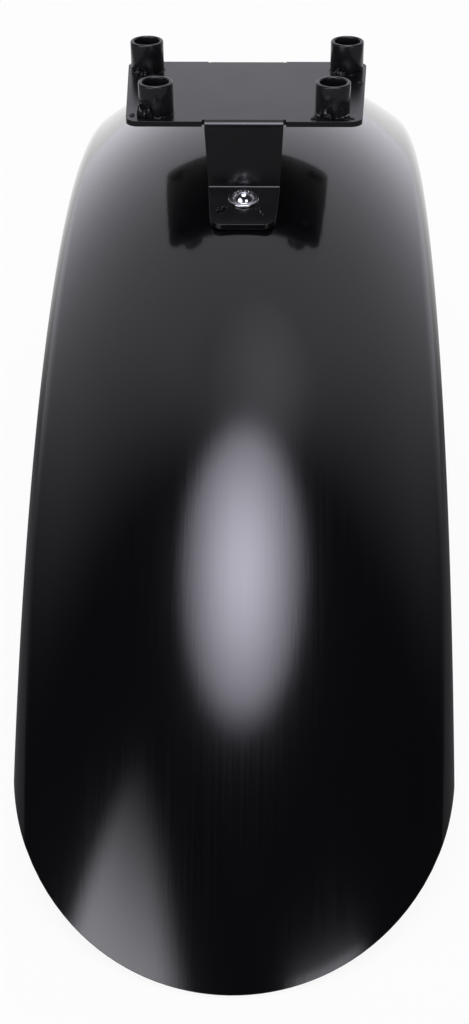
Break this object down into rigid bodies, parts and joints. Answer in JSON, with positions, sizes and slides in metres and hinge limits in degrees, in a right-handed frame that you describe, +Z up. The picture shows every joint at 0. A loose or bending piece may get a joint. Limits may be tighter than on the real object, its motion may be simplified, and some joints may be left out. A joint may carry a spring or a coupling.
{
  "type": "motorcycle front fender",
  "caption": "Arched gloss-black sheet fender with rounded ends and a folded crown bracket whose welded standoff tubes bolt up under a motorcycle's fork clamp.",
  "frame": {"origin": "On the top plane of the standoff tubes, midway between the front pair of bolt holes.", "axes": "+Z up, square to the fork clamp; -Y to the front of the motorcycle, along the fender; X across it."},
  "size_m": [0.1788, 0.632, 0.2484],
  "materials": {
    "gloss_black": "gloss",
    "bracket_black": "satin",
    "weld_black": "gloss",
    "bright_steel": "polished",
    "plain_steel": "satin"
  },
  "bodies": {
    "root": {"fender_blade": "gloss_black", "mount_bracket": "bracket_black", "front_left_tube": "bracket_black", "front_right_tube": "bracket_black", "rear_left_tube": "bracket_black", "rear_right_tube": "bracket_black", "front_left_weld": "weld_black", "front_right_weld": "weld_black", "rear_left_weld": "weld_black", "rear_right_weld": "weld_black", "front_screw": "bright_steel", "rear_screw": "bright_steel", "front_washer": "plain_steel", "rear_washer": "plain_steel", "front_nut": "plain_steel", "rear_nut": "plain_steel"}
  },
  "joints": []
}
